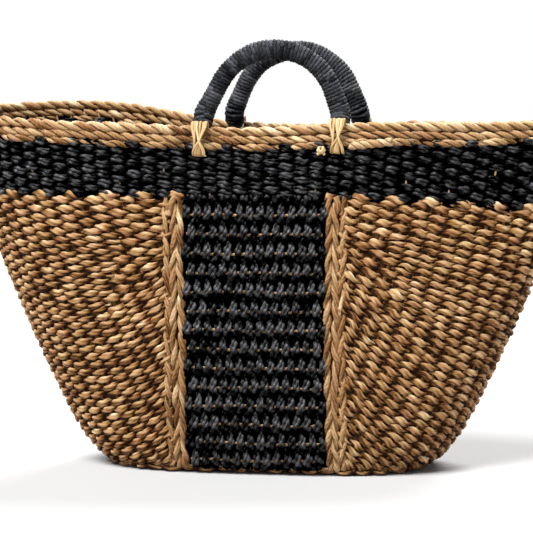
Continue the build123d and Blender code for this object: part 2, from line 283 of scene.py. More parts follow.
class Strands:
    """The tubes of one piece, gathered and then made into one mesh."""

    def __init__(self):
        self.verts, self.quads, self.caps, self.uv = [], [], [], []
        self.tone, self.tint = [], []
        self.count = 0

    def tube(self, path, normal, thick, wide, tone, sides=10, twist=0.0, groove=0.0,
             closed=False, plies=2, tint=0.5, painted_crease_shade=0.0):
        """A tube whose section lies across the path: thick along the normal, wide across it.
        A groove that turns by twist along the tube shows its plies, darkened by painted shade.
        The upper side of the tube is given painted light and its underside painted shade."""
        count = len(path)
        along = direction(path, closed)
        side = unit(np.cross(along, normal))
        out = np.cross(side, along)
        turn = np.arange(sides) * 2 * math.pi / sides
        steps = np.linalg.norm(np.diff(path, axis=0), axis=1)
        run = np.r_[0, np.cumsum(steps)]
        twist = np.broadcast_to(twist, count)[:, None]
        notch = np.abs(np.cos((turn[None] - twist) * plies / 2)) ** 4
        bite = 1 - groove * notch
        thick = np.broadcast_to(thick, count)[:, None]
        wide = np.broadcast_to(wide, count)[:, None]
        ring_out = thick * np.cos(turn)[None] * bite
        ring_side = wide * np.sin(turn)[None] * bite
        verts = (path[:, None] + out[:, None] * ring_out[:, :, None]
                 + side[:, None] * ring_side[:, :, None])
        rows = np.arange(count if closed else count - 1)[:, None]
        cols = np.arange(sides)[None]
        here = rows * sides + cols
        beside = rows * sides + (cols + 1) % sides
        ahead = ((rows + 1) % count) * sides
        quads = np.stack([here, beside, ahead + (cols + 1) % sides, ahead + cols], -1)
        self.quads.append(quads.reshape(-1, 4) + self.count)
        across_uv = float(np.mean(thick) + np.mean(wide)) * math.pi / sides * UV_SCALE
        round_uv = cols * across_uv
        along_uv = run[rows] * UV_SCALE
        step_uv = np.r_[run[1:], run[-1] + (steps[-1] if closed else 0)][rows] * UV_SCALE
        corner = [
            np.stack(np.broadcast_arrays(along_uv, round_uv), -1),
            np.stack(np.broadcast_arrays(along_uv, round_uv + across_uv), -1),
            np.stack(np.broadcast_arrays(step_uv, round_uv + across_uv), -1),
            np.stack(np.broadcast_arrays(step_uv, round_uv), -1),
        ]
        self.uv.append(np.stack(corner, 2).reshape(-1, 2) + rng.uniform(0, 50))
        if not closed:
            first = np.arange(sides)[::-1] + self.count
            last = np.arange(sides) + (count - 1) * sides + self.count
            self.caps += [first, last]
        self.verts.append(verts.reshape(-1, 3))
        # painted light and shade: the upper side of every strand is lighter than its underside,
        # as if lit from above
        upward = out[:, 2:] * np.cos(turn)[None] + side[:, 2:] * np.sin(turn)[None]
        shades = np.broadcast_to(tone, count)[:, None] - painted_crease_shade * notch + PAINTED_TOP_LIGHT * upward
        self.tone.append(shades.ravel())
        self.tint.append(np.repeat(np.broadcast_to(tint, count), sides))
        self.count += count * sides

    def make(self, name, material, body, slot, nodes):
        """The piece itself, riding on its body and standing for its CAD nodes."""
        verts = np.concatenate(self.verts).astype(np.float32)
        quads = np.concatenate(self.quads)
        cap_size = [len(c) for c in self.caps]
        loops = np.concatenate([quads.ravel()] + self.caps)
        starts = np.r_[np.arange(len(quads)) * 4,
                       len(quads) * 4 + np.r_[0, np.cumsum(cap_size)[:-1]]
                       if self.caps else np.zeros(0)].astype(np.int32)
        mesh = bpy.data.meshes.new(name)
        mesh.vertices.add(len(verts))
        mesh.vertices.foreach_set("co", verts.ravel())
        mesh.loops.add(len(loops))
        mesh.loops.foreach_set("vertex_index", loops.astype(np.int32))
        mesh.polygons.add(len(starts))
        mesh.polygons.foreach_set("loop_start", starts)
        mesh.update(calc_edges=True)
        mesh.validate()
        uv = np.zeros((len(loops), 2), np.float32)
        uv[:len(quads) * 4] = np.concatenate(self.uv)
        layer = mesh.uv_layers.new(name="strand")
        layer.data.foreach_set("uv", uv.ravel())
        for kind, values in (("tone", self.tone), ("tint", self.tint)):
            attribute = mesh.attributes.new(kind, "FLOAT", "POINT")
            attribute.data.foreach_set("value", np.concatenate(values).astype(np.float32))
        mesh.shade_smooth()
        mesh.materials.append(material)
        piece = add_object(name, mesh)
        if body:
            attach(piece, body)
        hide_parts(*nodes)
        return piece


# ---- materials ----
def remap(tree, value, low, high, from_low=0.0, from_high=1.0):
    """A shader value mapped to run from low to high."""
    node = tree.nodes.new("ShaderNodeMapRange")
    node.inputs["From Min"].default_value = from_low
    node.inputs["From Max"].default_value = from_high
    node.inputs["To Min"].default_value = low
    node.inputs["To Max"].default_value = high
    tree.links.new(value, node.inputs["Value"])
    return node.outputs["Result"]


def fibre_material(name, colours, fibre, roughness, sheen, bump, mottle, hue_range=0.0,
                   shine_top=0.5):
    """Plant or cotton fibre: a colour for each lump, streaks along the strand, fibre bump.

    Colours go from hollow to top, the darkest reached by painted shade in the hollows and the
    lightest by painted light on top. Fibre is the streaks' scale along and across the strand."""
    material = bpy.data.materials.new(name)
    material.use_nodes = True
    tree = material.node_tree
    nodes, links = tree.nodes, tree.links
    shader = nodes["Principled BSDF"]
    shader.inputs["Sheen Weight"].default_value = sheen
    shader.inputs["Sheen Roughness"].default_value = 0.5

    strand = nodes.new("ShaderNodeUVMap")
    strand.uv_map = "strand"
    stretch_map = nodes.new("ShaderNodeMapping")
    stretch_map.inputs["Scale"].default_value = (fibre[0], fibre[1], 1)
    links.new(strand.outputs["UV"], stretch_map.inputs["Vector"])
    streak = nodes.new("ShaderNodeTexNoise")
    streak.inputs["Scale"].default_value = 1.0
    streak.inputs["Detail"].default_value = 3.0
    streak.inputs["Roughness"].default_value = 0.65
    links.new(stretch_map.outputs["Vector"], streak.inputs["Vector"])
    fibres = remap(tree, streak.outputs["Fac"], 0, 1, 0.3, 0.7)

    tone = nodes.new("ShaderNodeAttribute")
    tone.attribute_name = "tone"
    shade = nodes.new("ShaderNodeMath")
    shade.operation = "MULTIPLY_ADD"
    shade.inputs[1].default_value = mottle
    links.new(fibres, shade.inputs[0])
    links.new(tone.outputs["Fac"], shade.inputs[2])
    centred = nodes.new("ShaderNodeMath")
    centred.operation = "SUBTRACT"
    centred.inputs[1].default_value = mottle / 2
    links.new(shade.outputs[0], centred.inputs[0])
    ramp = nodes.new("ShaderNodeValToRGB")
    stops = ramp.color_ramp.elements
    stops.remove(stops[1])
    for index, (place, colour) in enumerate(colours):
        stop = stops[0] if index == 0 else stops.new(place)
        stop.position = place
        stop.color = (*colour, 1)
    links.new(centred.outputs[0], ramp.inputs["Fac"])

    tint = nodes.new("ShaderNodeAttribute")
    tint.attribute_name = "tint"
    hue = remap(tree, tint.outputs["Fac"], 0.5 - hue_range, 0.5 + hue_range)
    dye = nodes.new("ShaderNodeHueSaturation")
    links.new(hue, dye.inputs["Hue"])
    links.new(ramp.outputs["Color"], dye.inputs["Color"])
    links.new(dye.outputs["Color"], shader.inputs["Base Color"])

    # painted shade: the specular level follows the tone, so the hollows darkened with painted
    # shade don't shine either
    shine = remap(tree, centred.outputs[0], 0, shine_top, 0.25, 0.85)
    links.new(shine, shader.inputs["Specular IOR Level"])
    gloss = remap(tree, fibres, roughness + 0.12, roughness - 0.12)
    links.new(gloss, shader.inputs["Roughness"])

    relief = nodes.new("ShaderNodeBump")
    relief.inputs["Strength"].default_value = bump
    relief.inputs["Distance"].default_value = 0.5 * MM
    links.new(fibres, relief.inputs["Height"])
    links.new(relief.outputs["Normal"], shader.inputs["Normal"])
    return material


seagrass = fibre_material(
    "seagrass",
    [(0.00, (0.016, 0.006, 0.002)), (0.22, (0.120, 0.048, 0.014)), (0.42, (0.280, 0.135, 0.047)),
     (0.60, (0.400, 0.226, 0.094)), (0.80, (0.540, 0.355, 0.175)), (1.0, (0.760, 0.610, 0.370))],
    fibre=(1.1, 9.0), roughness=0.55, sheen=0.05, bump=1.0, mottle=0.34, hue_range=0.007)
black_cord = fibre_material(
    "black_cord",
    [(0.0, (0.0003, 0.0003, 0.0003)), (0.5, (0.0020, 0.0020, 0.0024)),
     (1.0, (0.022, 0.022, 0.028))],
    fibre=(2.5, 14.0), roughness=0.40, sheen=0.0, bump=0.8, mottle=0.5, shine_top=0.9)
handle_cord = fibre_material(
    "handle_cord",
    [(0.0, (0.001, 0.0011, 0.0015)), (0.5, (0.016, 0.0172, 0.0215)),
     (1.0, (0.082, 0.088, 0.108))],
    fibre=(5.0, 18.0), roughness=0.72, sheen=0.03, bump=0.9, mottle=0.6)
raffia = fibre_material(
    "raffia",
    [(0.0, (0.22, 0.11, 0.035)), (0.5, (0.56, 0.37, 0.165)), (1.0, (0.82, 0.66, 0.40))],
    fibre=(0.8, 12.0), roughness=0.48, sheen=0.04, bump=0.7, mottle=0.4, hue_range=0.01)


# ---- plain weave ----
DRAWS = 4096                   # random values kept for one strand, more than its lumps


def lumps(phase, seed, spread):
    """A random value for each lump along a strand, eased from lump to lump."""
    cell = phase / math.pi
    low = np.floor(cell).astype(int)
    ease = np.clip((cell - low - 0.3) / 0.4, 0, 1)
    draws = np.random.default_rng(seed).normal(0, spread, DRAWS)
    return draws[low % DRAWS] * (1 - ease) + draws[(low + 1) % DRAWS] * ease


def weave_strand(strands, path, normal, phase, seed, swing, thick, wide, pinch, tilt, tone,
                 cords=1, cord_gap=0.0, sides=14, groove=0.42, twist_pitch=60 * MM, plies=3,
                 closed=False, sink=0.0, floor=None, painted_cavity_shade=0.42, painted_crease_shade=0.26, knob=0.0,
                 knob_pitch=5 * MM, painted_slope_shade=0.0):
    """One weaver along path, the middle of the wall, over and under the stakes.

    It swings out and in, is wide over a stake and pinched between two, and leans by tilt.
    Sink draws it into the wall. Painted shade darkens it between two lumps, and painted shade and
    light follow its slope where it comes out of the wall and goes back in. More than one cord lie
    side by side, with their own knobs, each lighter by painted light where it swells."""
    across = np.cross(normal, direction(path, closed))
    lump = phase + math.pi / 2
    wave = np.cos(phase)
    bulge = np.abs(wave)
    size = 1 + lumps(lump, seed + 1, 0.10) * bulge
    out = swing * np.sign(wave) * bulge ** 0.7 + lumps(lump, seed, 0.35 * MM) * bulge - sink
    # each lump leans a little across its row, and comes back before it goes through the wall
    lateral = -tilt * np.sin(2 * phase) + lumps(lump, seed + 2, 0.45 * MM) * bulge
    half_wide = (pinch + (wide - pinch) * bulge ** 1.3) * size
    half_thick = thick * (0.78 + 0.22 * bulge) * size
    # painted shade: darker between two lumps, where the strand goes into the wall
    shade = tone + lumps(lump, seed + 3, 0.13) - painted_cavity_shade * (1 - bulge) ** 1.6
    tint = np.clip(0.5 + lumps(lump, seed + 4, 0.28), 0, 1)
    run = arc_length(path)
    # painted shade and light: a strand that climbs the wall is darker where it comes out and
    # faces down, and a little lighter where it goes back in facing up
    shade = shade - painted_slope_shade * np.clip(np.gradient(out, run) * 2, -0.5, 1)
    centre = path + normal * out[:, None] + across * lateral[:, None]
    start = np.random.default_rng(seed).uniform(0, 6)
    turn = run / twist_pitch * 2 * math.pi + start
    for cord in range(cords):
        points = centre
        cord_wide = half_wide
        knots = 1 + knob * np.cos(run / knob_pitch * 2 * math.pi + cord * 2.1 + start * 3)
        if cords > 1:
            # the cords of one weaver lie side by side and turn slowly round each other
            angle = turn + cord * 2 * math.pi / cords
            spread = cord_gap * (0.6 + 0.4 * bulge) * size
            points = points + across * (spread * np.cos(angle))[:, None]
            points = points + normal * (0.45 * cord_gap * np.sin(angle))[:, None]
            cord_wide = half_thick * knots
        if floor is not None:
            points = np.column_stack([points[:, :2], np.maximum(points[:, 2], floor)])
        cord_tone = shade + (0.0 if cords == 1 else 0.14 * math.sin(seed * 1.7 + cord * 2.4))
        # painted light: a cord is lighter where its knobs swell out, and darker where it narrows
        cord_tone = cord_tone + (knots - 1) * 0.8
        strands.tube(points, normal, half_thick * knots, cord_wide, np.clip(cord_tone, 0, 1),
                     sides=sides, twist=turn * 1.5, groove=groove, closed=closed, plies=plies,
                     tint=tint, painted_crease_shade=painted_crease_shade)


# ---- two-ply ropes ----
def rope(strands, path, normal, radius, pitch, tone, seed, closed=False, sides=14, hand=1):
    """Two plies laid round each other along path, each one turn per pitch."""
    run = arc_length(path)
    if closed:
        # whole turns, so that the ends meet
        total = run[-1] + np.linalg.norm(path[0] - path[-1])
        pitch = total / round(total / pitch)
    across = np.cross(direction(path, closed), normal)
    for ply in (0, 1):
        turn = hand * (run / pitch * 2 * math.pi) + ply * math.pi
        cell = run / pitch * 2 * math.pi + ply * math.pi
        size = 1 + lumps(cell, seed + ply, 0.12)
        arm = normal * np.cos(turn)[:, None] + across * np.sin(turn)[:, None]
        shade = tone + lumps(cell, seed + 5 + ply, 0.13)
        tint = np.clip(0.5 + lumps(cell, seed + 9 + ply, 0.25), 0, 1)
        # the section is turned with the rope, and its grooves stay with its fibres, darkened by
        # painted shade
        strands.tube(path + arm * radius * 0.50, arm, radius * 0.52 * size, radius * 0.66 * size,
                     np.clip(shade, 0, 1), sides=sides, twist=-0.6 * turn, groove=0.34,
                     closed=closed, plies=5, tint=tint, painted_crease_shade=0.30)


# ---- the natural side weaves ----
STAKE_GAP = 17.0 * MM          # one lump per stake
ROW_GAP = 4.45 * MM
FAN_REACH = 84 * MM            # the rows fan up towards the panels over this distance
FAN_RISE = 88 * MM             # by up to this much
FAN_FADE = (238 * MM, 0.75)    # and less than that near the band: where it is flat, how fast
UPTURN = (9 * MM, 13 * MM)     # a last bend up beside the panel: rise and reach
EDGE_KEEP = 12 * MM            # rows end under the upright ropes at the panel's edge
SIDE_LEAN = (0.25 * MM, 0.8 * MM)      # how far the lumps lean across their row, left and right
SIDE_SINK = 2.2 * MM           # how far the ends of a row draw into the wall
STEPS = 8                      # samples per lump
FEWER = (0.70, 0.60)           # closeness at which every other pair begins to end, and has ended
FEWEST = (0.37, 0.31)          # and the same for every other pair of those that are left
ENDED = 0.8                    # how far its ending goes before a row stops
ROW_KEEP = 2.5 * MM            # rows keep this far from the ground and from the band
SQUEEZE = (0.45, 1.6)          # the narrowest and widest that the spacing makes a row
STRAND_FLOOR = 2.6 * MM        # the lowest that the middle of a weaver goes
FIRST_ROW = -26                # rows below zero show only where the fan lifts them
SIDE_PIECES = 6
SHARED_ROW = -10               # the pieces share out the rows from this one up
SHADE_SHEET_HALF = 9 * MM             # painted shade: flat dark sheets inside the wall, edge to edge, that stop the light and show as shade between the strands
SHADE_SHEET_THICK = 0.5 * MM


def smooth_step(value, start, end):
    """From 0 at start to 1 at end, level at both."""
    share = np.clip((value - start) / (end - start), 0, 1)
    return share**2 * (3 - 2 * share)


def edge_distance(surface, v, z):
    """Distance to the nearer panel edge, rounded off at the basket's end."""
    w = np.abs(2 * v - 1)
    blunt = 0.12                   # the rounding, as a share of half the stretch
    return surface.length(z) / 2 * (1 + (math.sqrt(1 + blunt**2) - 1) - np.sqrt(w**2 + blunt**2))


def fan_row(surface, row, v):
    """Height of one row at each v, its closeness to the next, and how far it has spread.

    Where the fan crowds the rows, half of the pairs end and the others spread out to fill
    the space, and then again."""
    place = np.full(len(v), float(row))
    flat, fade = FAN_FADE
    least = 4 * MM                 # the rise beside the band
    for _ in range(25):            # each height depends on the height, so both loops settle it
        start = place * ROW_GAP
        rise = np.clip(fade * (flat - start), least, FAN_RISE)
        crowd = np.where((rise > least) & (rise < FAN_RISE), fade, 0)
        z = start + rise
        for _ in range(3):
            distance = edge_distance(surface, v, z)
            fan = np.exp(-distance / FAN_REACH)
            z = start + rise * fan + UPTURN[0] * np.exp(-distance / UPTURN[1])
        slope = rise * fan / FAN_REACH
        slope = slope + UPTURN[0] / UPTURN[1] * np.exp(-distance / UPTURN[1])
        close = (1 - crowd * fan) / np.sqrt(1 + slope**2)
        once = smooth_step(-close, -FEWER[0], -FEWER[1])
        twice = smooth_step(-close, -FEWEST[0], -FEWEST[1])
        offset = {0: -0.5, 1: 0.5}.get(row % 4, 0) * once + {0: -1, 1: 1}.get(row % 8, 0) * twice
        place = row + offset
    return z, close, once, twice


def side_row(surface, row):
    """One row sampled evenly both ways from the basket's end."""
    v = np.linspace(0.002, 0.998, 700)
    z, close, once, twice = fan_row(surface, row, v)
    point, _ = surface.at(v, np.clip(z, 0, RIM_Z))
    arc = arc_length(point)
    arc -= np.interp(0.5, v, arc)
    step = STAKE_GAP / STEPS
    mark = np.arange(math.ceil(arc[0] / step), math.floor(arc[-1] / step) + 1)
    v_even = np.interp(mark * step, arc, v)
    return mark, v_even, *(np.interp(v_even, v, values) for values in (z, close, once, twice))


def runs_of(mask):
    """Start and end of each unbroken stretch of a mask."""
    edges = np.flatnonzero(np.diff(np.r_[0, mask.astype(int), 0]))
    return zip(edges[::2], edges[1::2])


def side_weave(side, surface, node):
    """All rows of one side, in a few pieces. Gives back the line of each of its stakes."""
    first, last = FIRST_ROW, int(BAND_FOOT / ROW_GAP) + 1
    pieces = [Strands() for _ in range(SIDE_PIECES)]
    stakes = {}
    for row in range(first, last):
        mark, v, z, close, once, twice = side_row(surface, row)
        point, normal = surface.at(v, np.clip(z, 0, RIM_Z))
        near = edge_distance(surface, v, z)
        top = band_foot(point[:, 0]) - ROW_KEEP
        keep = (z > ROW_KEEP) & (z < top) & (near > EDGE_KEEP)
        room = close
        if row % 4 < 2:
            room = room * (1 + once)
            if row % 8 < 2:
                room = room * (1 + twice)
            else:
                keep &= twice < ENDED
                room = room * (1 - 0.6 * twice)
        else:
            keep &= once < ENDED
            room = room * (1 - 0.6 * once)
        squeeze = np.clip(room, *SQUEEZE)
        middle = point - normal * WALL / 2
        for low, high in runs_of(keep):
            if high - low < STEPS:
                continue
            part = slice(low, high)
            phase = math.pi * (mark[part] / STEPS + row)
            phase = phase + 0.35 * np.sin(mark[part] / STEPS / 3.1 + row * 2.4)
            seed = 7000 * (side + 2) + 10 * (row - first)
            tone = 0.56 + 0.05 * math.sin(row * 1.9 + side) + rng.normal(0, 0.03)
            ending = np.minimum(np.arange(high - low), np.arange(high - low)[::-1]) / STEPS
            sink = SIDE_SINK * np.clip(1 - ending * 1.5, 0, 1)
            index = (row - SHARED_ROW) * SIDE_PIECES // (last - SHARED_ROW)
            index = min(SIDE_PIECES - 1, max(0, index))
            weave_strand(pieces[index], middle[part], normal[part], phase, seed, swing=2.9 * MM,
                         thick=2.5 * MM, wide=3.9 * MM * squeeze[part],
                         pinch=2.4 * MM * squeeze[part], tilt=SIDE_LEAN[side], tone=tone,
                         sink=sink, floor=STRAND_FLOOR)
        for index in np.flatnonzero(keep & (mark % STEPS == 0)):
            line = stakes.setdefault(int(mark[index]), [])
            line.append((z[index], *middle[index], *normal[index]))

    # a last row of larger lumps where the band begins
    point, normal = settled(surface, np.linspace(0.0, 1.0, 900), BAND_FOOT,
                            lambda x, y: band_foot(x) + 0.6 * MM)
    arc = arc_length(point)
    even = np.arange(0, arc[-1], STAKE_GAP / STEPS)
    path = resample(point, arc, even)
    normal = unit(resample(normal, arc, even))
    phase = math.pi * np.arange(len(even)) / STEPS
    weave_strand(pieces[-1], path - normal * WALL / 2, normal, phase, 61000 + 100 * side,
                 swing=3.0 * MM, thick=2.6 * MM, wide=4.7 * MM, pinch=2.6 * MM, tilt=1.0 * MM,
                 tone=0.60)
    for index, strands in enumerate(pieces):
        strands.make(f"{node}_{index + 1}", seagrass, "basket", "natural_seagrass", [node])
    return stakes


def stake_tubes(strands, stakes):
    """A stake, darker than the weavers as painted shade, and a dark sheet of painted shade along
    each line of points, from the lowest row to the highest.
    """
    for mark in sorted(stakes):
        line = np.array(sorted(stakes[mark]))
        if len(line) < 4:
            continue
        path, normal = line[:, 1:4], line[:, 4:7]
        # painted shade: the stake's darker tone, and the sheet in the darkest tone
        strands.tube(path, normal, thick=1.4 * MM, wide=2.0 * MM, tone=0.25, sides=6)
        strands.tube(path, normal, thick=0.6 * MM, wide=SHADE_SHEET_HALF, tone=0.0, sides=6)


stake_strands = Strands()
stake_tubes(stake_strands, side_weave(0, left_side, "left_side_weave"))
stake_tubes(stake_strands, side_weave(1, right_side, "right_side_weave"))


# ---- three upright ropes along each panel edge, laid opposite ways like a braid ----
# distance from the panel, radius, and the hand of the lay
EDGE_ROPES = ((3.2 * MM, 4.1 * MM, 1), (10.2 * MM, 4.3 * MM, -1), (17.0 * MM, 3.8 * MM, 1))
EDGE_PITCH = 35 * MM
EDGE_DEPTH = 3.6 * MM          # the ropes' middle below the wall's outside
EDGE_SHADE_SHEET = (12 * MM, 13 * MM)         # a dark sheet of painted shade behind them: distance and half width
edge_strands = Strands()
for corner, (surface, at_start) in enumerate(
        ((right_side, True), (right_side, False), (left_side, True), (left_side, False))):
    for index, (distance, radius, hand) in enumerate(EDGE_ROPES):
        z = np.arange(5 * MM, BAND_FOOT, 1.5 * MM)
        sway = 0.9 * MM * np.sin(z / (27 * MM) + corner * 2 + index * 2.6)
        sway = sway + 0.5 * MM * np.sin(z / (9 * MM) + corner + index * 1.7)
        v = (distance + sway) / surface.length(z)
        point, normal = surface.at(v if at_start else 1 - v, z)
        turned = hand if at_start else -hand
        rope(edge_strands, point - normal * EDGE_DEPTH, normal, radius,
             pitch=EDGE_PITCH + index * 3 * MM, tone=0.62,
             seed=90000 + 100 * corner + 20 * index, sides=12, hand=turned)
    # painted shade: a sheet in the darkest tone behind the ropes
    z = np.arange(4 * MM, BAND_FOOT, 6 * MM)
    v = EDGE_SHADE_SHEET[0] / surface.length(z)
    point, normal = surface.at(v if at_start else 1 - v, z)
    edge_strands.tube(point - normal * WALL / 2, normal, thick=0.6 * MM, wide=EDGE_SHADE_SHEET[1],
                      tone=0.0, sides=6)
edge_strands.make("panel_edge_ropes", seagrass, "basket", "natural_seagrass",
                  ["left_side_weave", "right_side_weave"])

# ---- the black centre panels ----
PANEL_STRANDS = 27
WARP_GAP = 18.6 * MM
WARP_TOP = BAND_FOOT - 18 * MM
WARP_SAMPLES = 90
PANEL_STEPS = 14               # samples per lump
PANEL_PARTS = 3
for place, surface, seed_base in (("front", front_panel, 200000), ("back", back_panel, 300000)):
    panels = [Strands() for _ in range(PANEL_PARTS)]
    for index in range(PANEL_STRANDS):
        panel = panels[index * PANEL_PARTS // PANEL_STRANDS]
        z = np.arange(3 * MM, BAND_FOOT + 2 * MM, WARP_GAP / PANEL_STEPS)
        v = np.full(len(z), (index + 0.5) / PANEL_STRANDS)
        point, normal = surface.at(v, z)
        phase = math.pi * ((z - WARP_TOP) / WARP_GAP + index)
        weave_strand(panel, point - normal * WALL / 2, normal, phase, seed_base + 10 * index,
                     swing=3.4 * MM, thick=1.85 * MM, wide=4.6 * MM, pinch=2.6 * MM,
                     tilt=0.5 * MM, tone=0.50, cords=3, cord_gap=2.6 * MM, sides=7, groove=0.0,
                     twist_pitch=23 * MM, floor=2.4 * MM, painted_crease_shade=0.0, painted_cavity_shade=0.5, knob=0.24,
                     knob_pitch=5.6 * MM, painted_slope_shade=0.4)
        # painted shade: a black sheet behind each strand
        panel.tube(point[::5] - normal[::5] * WALL / 2, normal[::5], thick=SHADE_SHEET_THICK,
                   wide=3.2 * MM, tone=0.0, sides=6)
    for index, panel in enumerate(panels):
        panel.make(f"{place}_centre_panel_cords_{index + 1}", black_cord, "basket", "black_cord",
                   [f"{place}_centre_panel"])
    warps = Strands()
    for index, height in enumerate(np.arange(WARP_TOP, 5 * MM, -WARP_GAP)):
        v = np.linspace(0.02, 0.98, WARP_SAMPLES)
        z = height + 0.7 * MM * np.sin(v * 9 + index)
        point, normal = surface.at(v, z)
        warps.tube(point - normal * WALL / 2, normal, thick=1.8 * MM, wide=1.6 * MM, tone=0.58,
                   sides=8, twist=np.linspace(0, 60, WARP_SAMPLES), groove=0.2)
    warps.make(f"{place}_panel_warp_strands", seagrass, "basket", "stake_grass",
               [f"{place}_panel_warps"])

# ---- the black band ----
BAND_ROWS = 11
BAND_STAKES = 94
BAND_STEPS = 10                # samples per lump
BAND_PARTS = ("lower", "middle", "upper")
BAND_INSIDE_DROP = 12 * MM          # the band's stakes and its sheet of painted shade start this far below the rim's top
BAND_INSIDE_BELOW = 3 * MM          # and end this far below the band
BAND_INSIDE_SAMPLES = 30
for part, part_name in enumerate(BAND_PARTS):
    band = Strands()
    first, last = (end * BAND_ROWS // len(BAND_PARTS) for end in (part, part + 1))
    for row in range(first, last):
        count = BAND_STAKES * BAND_STEPS
        share = (row + 0.5) / BAND_ROWS
        point, normal = settled(ring, np.arange(count) / count, BAND_FOOT,
                                lambda x, y: band_height(x, y, share))
        phase = math.pi * (np.arange(count) / BAND_STEPS + row)
        weave_strand(band, point - normal * WALL / 2, normal, phase, 400000 + 10 * row,
                     swing=3.0 * MM, thick=1.65 * MM, wide=4.2 * MM, pinch=2.4 * MM,
                     tilt=0.5 * MM, tone=0.50, cords=3, cord_gap=2.45 * MM, sides=6, groove=0.0,
                     twist_pitch=58 * MM, closed=True, painted_crease_shade=0.0, painted_cavity_shade=0.5, knob=0.14,
                     knob_pitch=7 * MM)
    band.make(f"black_band_{part_name}", black_cord, "basket", "black_cord", ["black_band"])

band_shade_sheet = Strands()
for index in range(BAND_STAKES):
    v = np.full(BAND_INSIDE_SAMPLES, index / BAND_STAKES)
    foot_x, foot_y, _ = ring.at(v[:1], np.array([BAND_FOOT]))[0][0]
    top = rim_top(foot_x, foot_y) - BAND_INSIDE_DROP
    z = np.linspace(band_foot(foot_x) - BAND_INSIDE_BELOW, top, BAND_INSIDE_SAMPLES)
    point, normal = ring.at(v, z)
    # one stake in three pushes a little tan between the black cords
    shown = rng.uniform(BAND_FOOT, RIM_Z - 30 * MM) if index % 3 == 1 else 0
    push = 2.9 * MM * np.exp(-((z - shown) / (2.5 * MM)) ** 2) - 1.5 * MM
    stake_strands.tube(point + normal * (push - WALL / 2)[:, None], normal, thick=1.2 * MM,
                       wide=1.0 * MM, tone=0.62, sides=6)
    # painted shade: a black sheet inside the band, in the darkest tone
    band_shade_sheet.tube(point - normal * WALL / 2, normal, thick=SHADE_SHEET_THICK, wide=SHADE_SHEET_HALF,
                     tone=0.0, sides=6)
band_shade_sheet.make("black_band_lining", black_cord, "basket", "black_cord", ["black_band"])
stake_strands.make("wall_stake_strands", seagrass, "basket", "stake_grass", ["wall_stakes"])


# ---- the rim's three ropes ----
# node, drop from the rim's top, radius, pitch, tone, depth, and how far it dives in and out
ROPES = (("rim_rope_top", 5.0 * MM, 5.2 * MM, 30 * MM, 0.72, -4.2 * MM, 0.0),
         ("rim_rope_middle", 13.4 * MM, 4.7 * MM, 27 * MM, 0.66, -4.2 * MM, 0.0),
         ("rim_rope_lower", 20.2 * MM, 3.8 * MM, 25 * MM, 0.62, -3.6 * MM, 3.2 * MM))
RIM_SHADE_SHEET = (12.0 * MM, 10.0 * MM)    # a flat dark sheet of painted shade inside the ropes: its drop and half height
RUNNING_STITCH = 47 * MM       # the lowest rope goes in and out over this length
for index, (name, drop, radius, pitch, tone, depth, dive) in enumerate(ROPES):
    strands = Strands()
    v = np.arange(ROUND) / ROUND
    point, normal = settled(ring, v, RIM_Z, lambda x, y: rim_top(x, y) - drop)
    stitches = round(float(GIRTH[-1]) / RUNNING_STITCH)
    out = depth + dive * np.cos(v * 2 * math.pi * stitches)
    wander = 0.5 * MM * np.sin(v * 2 * math.pi * 9 + index * 2)
    path = point + normal * (out + 0.4 * MM * np.sin(v * 2 * math.pi * 13 + index))[:, None]
    path[:, 2] += wander
    rope(strands, path, normal, radius, pitch, tone, seed=500000 + 50 * index, closed=True)
    if name == "rim_rope_middle":
        # painted shade: a dark sheet inside the ropes
        inner = point - normal * WALL / 2
        inner[:, 2] += drop - RIM_SHADE_SHEET[0]
        strands.tube(inner, normal, thick=SHADE_SHEET_THICK, wide=RIM_SHADE_SHEET[1], tone=0.05, sides=6,
                     closed=True)
    strands.make(f"{name}_strands", seagrass, "basket", "natural_seagrass", [name])

# ---- the floor ----
floor_outline = OUTLINE[0]
floor_strands = Strands()
FLOOR_Z = 4.9 * MM
FLOOR_ROWS = 17                # on each side of the middle one
FLOOR_GAP = 4.5 * MM
FLOOR_STAKES = 9               # on each side of the middle one
STAKE_SAMPLES = 30
for row in range(-FLOOR_ROWS, FLOOR_ROWS + 1):
    y = row * FLOOR_GAP
    inside = floor_outline[np.abs(floor_outline[:, 1] - y) < 3 * MM]
    if len(inside) < 2:
        continue
    reach = min(abs(inside[:, 0].min()), inside[:, 0].max()) + 1 * MM
    x = np.arange(-reach, reach, STAKE_GAP / STEPS)
    path = np.stack([x, np.full(len(x), y), np.full(len(x), FLOOR_Z)], 1)
    normal = np.tile([0.0, 0.0, -1.0], (len(x), 1))
    phase = math.pi * (x / STAKE_GAP + row)
    weave_strand(floor_strands, path, normal, phase, 600000 + 10 * row, swing=2.0 * MM,
                 thick=2.0 * MM, wide=4.0 * MM, pinch=2.5 * MM, tilt=0.6 * MM, tone=0.5,
                 floor=STRAND_FLOOR, sides=8)
floor_strands.make("base_weave_strands", seagrass, "basket", "natural_seagrass", ["base_weave"])
floor_stakes = Strands()
for index in range(-FLOOR_STAKES, FLOOR_STAKES + 1):
    x = index * STAKE_GAP
    inside = floor_outline[np.abs(floor_outline[:, 0] - x) < 4 * MM]
    reach = inside[:, 1].max() - 4 * MM
    y = np.linspace(-reach, reach, STAKE_SAMPLES)
    path = np.stack([np.full(len(y), x), y, np.full(len(y), FLOOR_Z)], 1)
    up = np.tile([0.0, 0.0, 1.0], (len(y), 1))
    floor_stakes.tube(path, up, thick=1.4 * MM, wide=2.2 * MM, tone=0.62, sides=6)
floor_stakes.make("floor_stake_strands", seagrass, "basket", "stake_grass", ["floor_stakes"])

